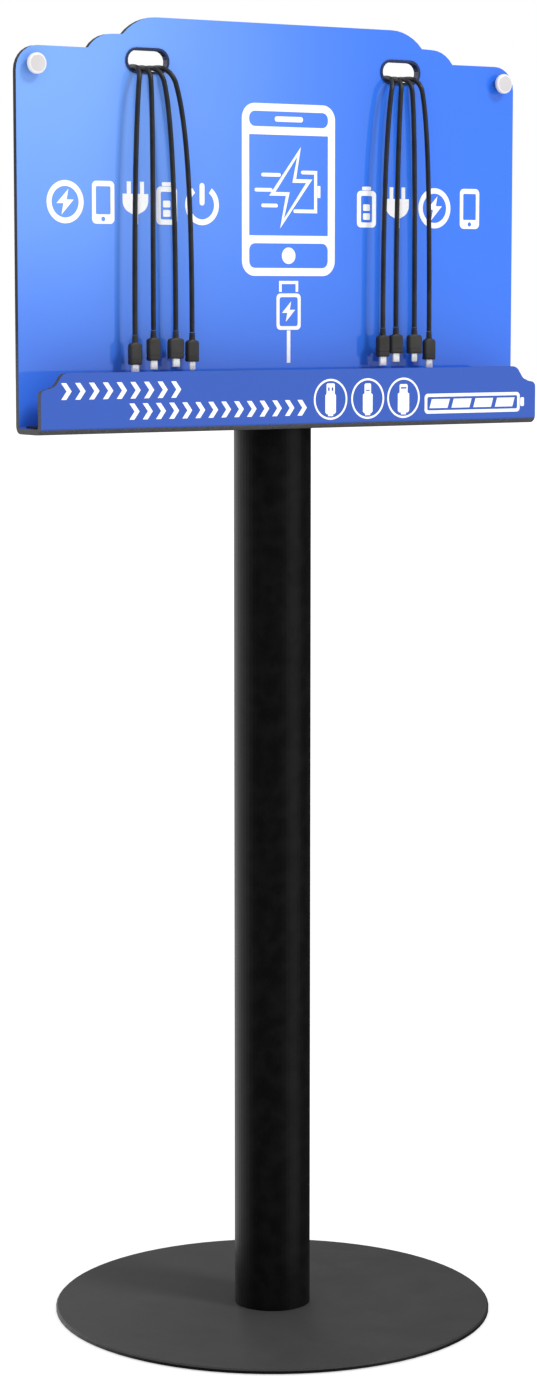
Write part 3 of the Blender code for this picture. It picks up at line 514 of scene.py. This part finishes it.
def plug_pieces(name, x, width, top, bottom, tip, tip_w, tip_t):
    """Overmould with a ribbed strain relief, and a drawn metal shell or a flat blade."""
    y = CORD_Y
    half = width / 2
    rings = [section(x, y, 1.6, 1.6, 9, top + 7.0), section(x, y, 2.55, 2.55, 9, top + 6.9)]
    for i in range(4):
        z = top + 6.3 - 1.35 * i
        r = 2.6 + 0.1 * i
        rings += [
            section(x, y, r, r, 9, z),
            section(x, y, r, r, 9, z - 0.55),
            section(x, y, r - 0.38, r - 0.38, 9, z - 0.7),
            section(x, y, r - 0.38, r - 0.38, 9, z - 1.15),
        ]
    rings += [
        section(x, y, 3.0, 3.0, 9, top + 0.9),
        section(x, y, 3.3, 3.0, 9, top + 0.5),
        section(x, y, half - 1.7, 3.0, 2.2, top + 0.1),
        section(x, y, half - 0.8, 3.12, 2.0, top - 0.5),
        section(x, y, half - 0.2, 3.18, 1.8, top - 1.5),
        section(x, y, half, 3.2, 1.7, top - 2.6),
        section(x, y, half, 3.2, 1.7, bottom + 5.0),
        section(x, y, half - 0.28, 2.95, 1.6, bottom + 4.8),
        section(x, y, half - 0.28, 2.95, 1.6, bottom + 4.3),
        section(x, y, half, 3.2, 1.7, bottom + 4.1),
        section(x, y, half, 3.2, 1.7, bottom + 0.9),
        section(x, y, half - 0.25, 2.95, 1.6, bottom + 0.25),
        section(x, y, half - 0.9, 2.4, 1.4, bottom),
    ]
    # socket that the shell sits in, with the insert's tongue standing in it
    hollow = tip_t > 2
    if hollow:
        rings += [
            section(x, y, 2.95, 0.34, 0.3, bottom),
            section(x, y, 2.95, 0.34, 0.3, tip + 1.2),
            section(x, y, 2.7, 0.16, 0.16, tip + 0.8),
        ]
    bm = bmesh.new()
    rings = [[(px, py, pz) for px, py, pz in ring] for ring in rings]
    loft(bm, rings)
    bmesh.ops.translate(bm, vec=(0, HEAD, TRAY), verts=bm.verts[:])
    mould = store(f"plug_mould_{name}", bm, M["plug"], smooth=50)

    bm = bmesh.new()
    w, t = tip_w / 2, tip_t / 2
    if hollow:
        rings = [
            section(x, y, w - 0.3, t - 0.3, 9, bottom + 0.6),
            section(x, y, w, t, 9, bottom + 0.5),
            section(x, y, w, t, 9, tip + 0.45),
            section(x, y, w - 0.06, t - 0.06, 9, tip + 0.15),
            section(x, y, w - 0.2, t - 0.2, 9, tip),
            section(x, y, w - 0.36, t - 0.36, 9, tip + 0.12),
            section(x, y, w - 0.42, t - 0.42, 9, tip + 0.5),
            section(x, y, w - 0.42, t - 0.42, 9, bottom + 0.3),
        ]
    else:
        rings = [
            section(x, y, w - 0.3, t - 0.3, 9, bottom + 0.6),
            section(x, y, w, t, 9, bottom + 0.5),
            section(x, y, w, t, 9, tip + 1.4),
            section(x, y, w - 0.3, t - 0.04, 9, tip + 0.7),
            section(x, y, w - 1.0, t - 0.18, 9, tip + 0.2),
            section(x, y, w - 1.8, t - 0.4, 9, tip),
        ]
    loft(bm, rings)
    if not hollow:
        for side in (-1, 1):
            for i in range(6):
                cx = x - 2.0 + 0.8 * i
                loft(
                    bm,
                    [
                        section(cx, y + side * (t - 0.02), 0.24, 0.07, 0.05, tip + 1.5, 2),
                        section(cx, y + side * (t - 0.02), 0.24, 0.07, 0.05, tip + 4.6, 2),
                    ],
                )
    bmesh.ops.translate(bm, vec=(0, HEAD, TRAY), verts=bm.verts[:])
    shell = store(f"plug_tip_{name}", bm, M["nickel"], smooth=50)
    return mould, shell


for name, slot_x, hang_x, width, top, bottom, tip, tip_w, tip_t in PLUGS:
    points = [world(p) for p in cord_points(slot_x, hang_x, top + 7.3)]
    curve = bpy.data.curves.new(f"charging_cord_{name}", "CURVE")
    curve.dimensions = "3D"
    curve.bevel_depth = CORD_R * MM
    curve.bevel_resolution = 6
    curve.use_fill_caps = True
    spline = curve.splines.new("POLY")
    spline.points.add(len(points) - 1)
    for point, co in zip(spline.points, points):
        point.co = (*co, 1.0)
    spline.use_smooth = True
    curve.materials.append(M["cord"])
    cord = bpy.data.objects.new(f"charging_cord_{name}", curve)
    scene.collection.objects.link(cord)
    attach(cord, "stand")
    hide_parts(f"cord_{name}")
    mould, shell = plug_pieces(name, hang_x, width, top, bottom, tip, tip_w, tip_t)
    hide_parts(f"plug_{name}")


# ---------------------------------------------------------------- printed pictograms
def arc(cx, cz, r, a0, a1, n):
    return [
        (cx + r * math.cos(math.radians(a0 + (a1 - a0) * i / n)), cz + r * math.sin(math.radians(a0 + (a1 - a0) * i / n)))
        for i in range(n + 1)
    ]


def circle(cx, cz, r, n=40):
    return arc(cx, cz, r, 0, 360, n)[:-1]


def rounded(x0, z0, x1, z1, r, n=6):
    return (
        arc(x1 - r, z0 + r, r, -90, 0, n)
        + arc(x1 - r, z1 - r, r, 0, 90, n)
        + arc(x0 + r, z1 - r, r, 90, 180, n)
        + arc(x0 + r, z0 + r, r, 180, 270, n)
    )


def offset_line(points, width, closed=False):
    """Closed outline or outlines of a line of that width, with mitred corners and round ends."""
    h = width / 2
    pts = [Vector(p) for p in points]
    n = len(pts)

    def side(sign):
        out = []
        for i in range(n):
            if closed or 0 < i < n - 1:
                a, b, c = pts[i - 1], pts[i], pts[(i + 1) % n]
                d0, d1 = (b - a).normalized(), (c - b).normalized()
                n0, n1 = Vector((-d0.y, d0.x)), Vector((-d1.y, d1.x))
                m = (n0 + n1).normalized()
                out.append(b + m * sign * h / max(0.35, m.dot(n0)))
            else:
                d = (pts[1] - pts[0] if i == 0 else pts[-1] - pts[-2]).normalized()
                out.append(pts[i] + Vector((-d.y, d.x)) * sign * h)
        return out

    left, right = side(1), side(-1)
    if closed:
        return [[tuple(p) for p in left], [tuple(p) for p in right]]
    d1, d0 = (pts[-1] - pts[-2]).normalized(), (pts[0] - pts[1]).normalized()
    a1, a0 = math.degrees(math.atan2(d1.y, d1.x)), math.degrees(math.atan2(d0.y, d0.x))
    end = arc(pts[-1].x, pts[-1].y, h, a1 + 90, a1 - 90, 6)
    start = arc(pts[0].x, pts[0].y, h, a0 + 90, a0 - 90, 6)
    return [[tuple(p) for p in left[:-1]][1:] + end + [tuple(p) for p in reversed(right[:-1])][:-1] + start]


def plate(name, loops, front, thick=0.16, lean=0.0):
    """Thin cut vinyl: nested closed outlines, in millimetres from the tray, stand on a face at y = front."""
    curve = bpy.data.curves.new(name, "CURVE")
    curve.dimensions = "2D"
    curve.fill_mode = "BOTH"
    curve.extrude = thick / 2 * MM
    for loop in loops:
        spline = curve.splines.new("POLY")
        spline.points.add(len(loop) - 1)
        for point, (px, pz) in zip(spline.points, loop):
            point.co = ((px + lean * pz) * MM, pz * MM, 0.0, 1.0)
        spline.use_cyclic_u = True
    tmp = bpy.data.objects.new(name + "_outline", curve)
    scene.collection.objects.link(tmp)
    bpy.context.view_layer.update()
    mesh = bpy.data.meshes.new_from_object(tmp.evaluated_get(bpy.context.evaluated_depsgraph_get()))
    bm = bmesh.new()
    bm.from_mesh(mesh)
    bpy.data.objects.remove(tmp)
    bpy.data.curves.remove(curve)
    bpy.data.meshes.remove(mesh)
    for v in bm.verts:
        v.co = (v.co.x, front - (thick / 2 + 0.02) * MM - v.co.z, v.co.y + TRAY)
    return store(name, bm, M["print"], smooth=30)


def bolt(cx, cz, s):
    """Lightning flash about 2 s high."""
    shape = [(0.30, 1.0), (-0.78, -0.12), (-0.16, -0.12), (-0.34, -1.0), (0.78, 0.18), (0.14, 0.18)]
    return [(cx + s * a, cz + s * b) for a, b in shape]


def icon_battery(cx, cz):
    loops = [rounded(cx - 9, cz - 15.5, cx + 9, cz + 12.3, 3.5), rounded(cx - 5.2, cz - 11.7, cx + 5.2, cz + 8.5, 1.2, 3)]
    loops += [rounded(cx - 4.2, cz + 12.6, cx + 4.2, cz + 15.5, 1.0, 3)]
    loops += [rounded(cx - 3.2, cz - 9.7, cx + 3.2, cz - 4.7, 0.8, 2), rounded(cx - 3.2, cz - 2.9, cx + 3.2, cz + 2.1, 0.8, 2)]
    return loops


def icon_flash(cx, cz):
    return [circle(cx, cz, 15.5, 48), circle(cx, cz, 11.3, 40), bolt(cx, cz, 9.3)]


def icon_plug(cx, cz):
    shape = (
        [(-7.4, 15.5), (-3.9, 15.5), (-3.9, 6.6), (3.9, 6.6), (3.9, 15.5), (7.4, 15.5), (7.4, 6.6), (11.0, 6.6), (11.0, 1.5)]
        + arc(2.0, 1.5, 9.0, -6, -72, 6)
        + [(2.1, -8.5), (2.1, -15.5), (-2.1, -15.5), (-2.1, -8.5)]
        + arc(-2.0, 1.5, 9.0, 252, 186, 6)
        + [(-11.0, 1.5), (-11.0, 6.6), (-7.4, 6.6)]
    )
    return [[(cx + a, cz + b) for a, b in shape]]


def icon_phone(cx, cz):
    return [
        rounded(cx - 9.5, cz - 15.5, cx + 9.5, cz + 15.5, 3.6),
        rounded(cx - 6.2, cz - 8.6, cx + 6.2, cz + 11.6, 0.8, 2),
        circle(cx, cz - 12.0, 1.7, 16),
    ]


def icon_power(cx, cz):
    ring = arc(cx, cz - 0.6, 14.9, 125, 415, 44)
    inner = arc(cx, cz - 0.6, 10.6, 415, 125, 40)
    return [ring + inner, rounded(cx - 2.2, cz - 1.0, cx + 2.2, cz + 15.5, 2.1)]


STEM = 198.5  # middle height of the row
BOLD = 1.19
for name, icons, x0, x1 in (
    ("pictograms_left", (icon_flash, icon_phone, icon_plug, icon_battery, icon_power), -238, -62),
    ("pictograms_right", (icon_battery, icon_plug, icon_flash, icon_phone), 88, 228),
):
    drawn = [[[(BOLD * a, BOLD * b) for a, b in loop] for loop in icon(0.0, 0.0)] for icon in icons]
    halves = [max(a for loop in shape for a, b in loop) for shape in drawn]
    gap = (x1 - x0 - 2 * sum(halves)) / (len(icons) - 1)
    loops, at = [], x0
    for shape, half in zip(drawn, halves):
        loops += [[(at + half + a, STEM + b) for a, b in loop] for loop in shape]
        at += 2 * half + gap
    plate(name, loops, BOARD_Y)

# Handset with a charging battery, and a plug below it.
handset = [
    rounded(-37.6, 135.8, 63.4, 288.5, 13.5, 8),
    rounded(-29.8, 268.2, 55.6, 281.6, 6.0, 5),
    rounded(-29.8, 171.8, 55.6, 261.0, 0.6, 2),
    rounded(-29.8, 142.9, 55.6, 164.8, 6.0, 5),
    rounded(-2.3, 272.6, 28.3, 277.4, 2.3, 5),
    circle(12.8, 153.9, 7.4, 32),
    rounded(44.2, 205.8, 47.4, 216.6, 0.9, 3),
]
flash = [(24.0, 246.5), (-5.0, 208.8), (11.8, 208.8), (5.6, 182.5), (35.2, 220.6), (18.8, 220.6)]
handset += offset_line(flash, 3.3, True)
handset += offset_line([(27.8, 228.3), (42.2, 228.3), (42.2, 193.7), (19.6, 193.7)], 3.3)
for zz, xa, xb in ((225.6, -15.2, 2.6), (212.2, -22.4, -6.4), (198.4, -15.2, -0.6)):
    handset += offset_line([(xa, zz), (xb, zz)], 3.3)
lead = [(-0.2, 132.6), (-0.2, 121.0), (26.0, 121.0), (26.0, 132.6)]
handset += [
    [(2.4, 121.6), (5.2, 121.6), (5.2, 128.6), (20.4, 128.6), (20.4, 121.6), (23.2, 121.6), (23.2, 131.4), (2.4, 131.4)],
]
handset += [rounded(-0.4, 87.6, 26.0, 120.2, 4.0, 4), rounded(2.9, 90.9, 22.7, 116.9, 2.0, 3)]
handset += [bolt(12.8, 103.9, 9.2)]
handset += [[(10.9, 87.0), (10.9, 58.0), (14.7, 58.0), (14.7, 87.0)]]
plate("pictogram_handset", handset, BOARD_Y)

# Lip: two rows of chevrons, three ringed connectors, and a battery gauge.
def chevrons(x0, x1, z0, z1, pitch, thick):
    mid, half, out = (z0 + z1) / 2, (z1 - z0) / 2, []
    count = int((x1 - x0) / pitch)
    step = (x1 - x0 - half * 0.75 - thick) / (count - 1)
    for i in range(count):
        x = x0 + step * i
        t = half * 0.75
        out.append([(x, z0), (x + thick, z0), (x + thick + t, mid), (x + thick, z1), (x, z1), (x + t, mid)])
    return out


plate("lip_chevrons", chevrons(-247, -126, 30.0, 44.3, 12.6, 5.0) + chevrons(-179, 7, 11.8, 25.8, 12.6, 5.0), LIP_Y)

rings = []
for i, cx in enumerate((32.9, 73.9, 114.0)):
    rings += [circle(cx, 25.7, 18.35, 56), circle(cx, 25.7, 16.5, 52)]
    tip = (4.5, 3.6, 4.5)[i]
    body = (5.8, 5.4, 6.4)[i]
    end = (40.0, 39.4, 38.2)[i]
    shape = [(-tip, 30.6), (-tip, end - 1.0), (-tip + 1.0, end), (tip - 1.0, end), (tip, end - 1.0), (tip, 30.6)]
    shape += [(body, 29.4), (body, 14.0), (body - 1.6, 12.4), (2.85, 12.4), (2.85, 10.6), (-2.85, 10.6), (-2.85, 12.4), (-body + 1.6, 12.4), (-body, 14.0), (-body, 29.4)]
    rings.append([(cx + a, b) for a, b in shape])
    if i == 0:
        rings += [rounded(cx - 2.9, 33.2, cx - 1.1, 36.4, 0.3, 2), rounded(cx + 1.1, 33.2, cx + 2.9, 36.4, 0.3, 2)]
    elif i == 1:
        rings += [rounded(cx - 2.2, 32.6, cx + 2.2, 33.6, 0.3, 2)]
    else:
        rings += [rounded(cx - 3.3, 34.0, cx + 3.3, 35.4, 0.5, 2)]
plate("lip_rings", rings, LIP_Y)

gauge = [rounded(138, 10.6, 248.5, 28.9, 3.6), rounded(141.0, 13.6, 245.5, 25.9, 1.6, 3)]
gauge += [rounded(249.2, 15.6, 253.6, 23.9, 1.4, 3)]
for i in range(4):
    x = 143.6 + 25.2 * i
    gauge.append([(x, 15.6), (x + 20.6, 15.6), (x + 23.2, 23.9), (x + 2.6, 23.9)])
plate("lip_gauge", gauge, LIP_Y)

# ---------------------------------------------------------------- floor and light
bm = bmesh.new()
bmesh.ops.create_grid(bm, x_segments=8, y_segments=8, size=30.0)
floor = bpy.data.objects.new("studio_floor", bpy.data.meshes.new("studio_floor"))
bm.to_mesh(floor.data)
bm.free()
scene.collection.objects.link(floor)
k = Look("studio_paper")
k.set(base_color=k.mix(k.span(k.noise(3.0, 3.0), 0.3, 0.7), (0.64, 0.64, 0.64), (0.66, 0.66, 0.66)))
k.set(roughness=0.85)
k.bsdf.inputs["Specular IOR Level"].default_value = 0.1
floor.data.materials.append(k.mat)
k.bsdf.inputs["Emission Color"].default_value = (1.0, 1.0, 1.0, 1.0)
k.bsdf.inputs["Emission Strength"].default_value = 0.60
floor.visible_glossy = False

sky = bpy.data.worlds.new("studio")
scene.world = sky
sky.use_nodes = True
tree = sky.node_tree
tree.nodes.clear()
out = tree.nodes.new("ShaderNodeOutputWorld")
seen = tree.nodes.new("ShaderNodeBackground")
seen.inputs[0].default_value = (1.0, 1.0, 1.0, 1.0)
seen.inputs[1].default_value = 1.0
lit = tree.nodes.new("ShaderNodeBackground")
lit.inputs[1].default_value = 0.78
coord = tree.nodes.new("ShaderNodeTexCoord")
split = tree.nodes.new("ShaderNodeSeparateXYZ")
tree.links.new(coord.outputs["Generated"], split.inputs[0])
ramp = tree.nodes.new("ShaderNodeValToRGB")
ramp.color_ramp.elements[0].position = 0.35
ramp.color_ramp.elements[0].color = (0.80, 0.80, 0.81, 1)
ramp.color_ramp.elements[1].position = 0.95
ramp.color_ramp.elements[1].color = (1.1, 1.1, 1.1, 1)
half_up = tree.nodes.new("ShaderNodeMapRange")
half_up.inputs["From Min"].default_value = -1.0
half_up.inputs["From Max"].default_value = 1.0
tree.links.new(split.outputs["Z"], half_up.inputs["Value"])
tree.links.new(half_up.outputs[0], ramp.inputs[0])
tree.links.new(ramp.outputs[0], lit.inputs[0])


def maths(operation, *values):
    node = tree.nodes.new("ShaderNodeMath")
    node.operation = operation
    for socket, value in zip(node.inputs, values):
        if hasattr(value, "links"):
            tree.links.new(value, socket)
        else:
            socket.default_value = value
    return node.outputs[0]


def softbox(azimuth, elevation, inner, outer, level):
    """Light seen round a direction: azimuth 0 is in front of the board, 90 to its right."""
    a, e = math.radians(azimuth), math.radians(elevation)
    node = tree.nodes.new("ShaderNodeVectorMath")
    node.operation = "DOT_PRODUCT"
    tree.links.new(coord.outputs["Generated"], node.inputs[0])
    node.inputs[1].default_value = (math.sin(a) * math.cos(e), -math.cos(a) * math.cos(e), math.sin(e))
    step = tree.nodes.new("ShaderNodeMapRange")
    step.interpolation_type = "SMOOTHSTEP"
    step.inputs["From Min"].default_value = math.cos(math.radians(outer))
    step.inputs["From Max"].default_value = math.cos(math.radians(inner))
    step.inputs["To Max"].default_value = level
    tree.links.new(node.outputs["Value"], step.inputs["Value"])
    return step.outputs[0]


# What glossy surfaces mirror: a dim room with softboxes at the left, in front and overhead.
room = maths("ADD", 0.05, softbox(-152, 8, 16, 64, 1.75))
room = maths("ADD", room, softbox(33, -6, 12, 30, 1.25))
room = maths("ADD", room, softbox(0, 90, 25, 66, 1.0))
room = maths("ADD", room, softbox(0, -90, 10, 80, 0.20))
mirror = tree.nodes.new("ShaderNodeBackground")
tree.links.new(room, mirror.inputs[1])
path = tree.nodes.new("ShaderNodeLightPath")
first = tree.nodes.new("ShaderNodeMixShader")
tree.links.new(path.outputs["Is Glossy Ray"], first.inputs[0])
tree.links.new(lit.outputs[0], first.inputs[1])
tree.links.new(mirror.outputs[0], first.inputs[2])
blend = tree.nodes.new("ShaderNodeMixShader")
tree.links.new(path.outputs["Is Camera Ray"], blend.inputs[0])
tree.links.new(first.outputs[0], blend.inputs[1])
tree.links.new(seen.outputs[0], blend.inputs[2])
tree.links.new(blend.outputs[0], out.inputs[0])


def sun(name, azimuth, elevation, strength, angle):
    """Azimuth 0 shines from the front, and 90 from the right."""
    data = bpy.data.lights.new(name, "SUN")
    data.energy = strength
    data.angle = math.radians(angle)
    a, e = math.radians(azimuth), math.radians(elevation)
    source = Vector((math.sin(a) * math.cos(e), -math.cos(a) * math.cos(e), math.sin(e)))
    light = bpy.data.objects.new(name, data)
    light.rotation_mode = "QUATERNION"
    light.rotation_quaternion = (-source).to_track_quat("-Z", "Y")
    scene.collection.objects.link(light)
    return light


key = sun("key", 26, 40, 1.35, 13)
# The photo's ground is plain white, so the key leaves the floor alone.
unlit = bpy.data.collections.new("not_lit_by_key")
unlit.objects.link(floor)
unlit.collection_objects[0].light_linking.link_state = "EXCLUDE"
key.light_linking.receiver_collection = unlit
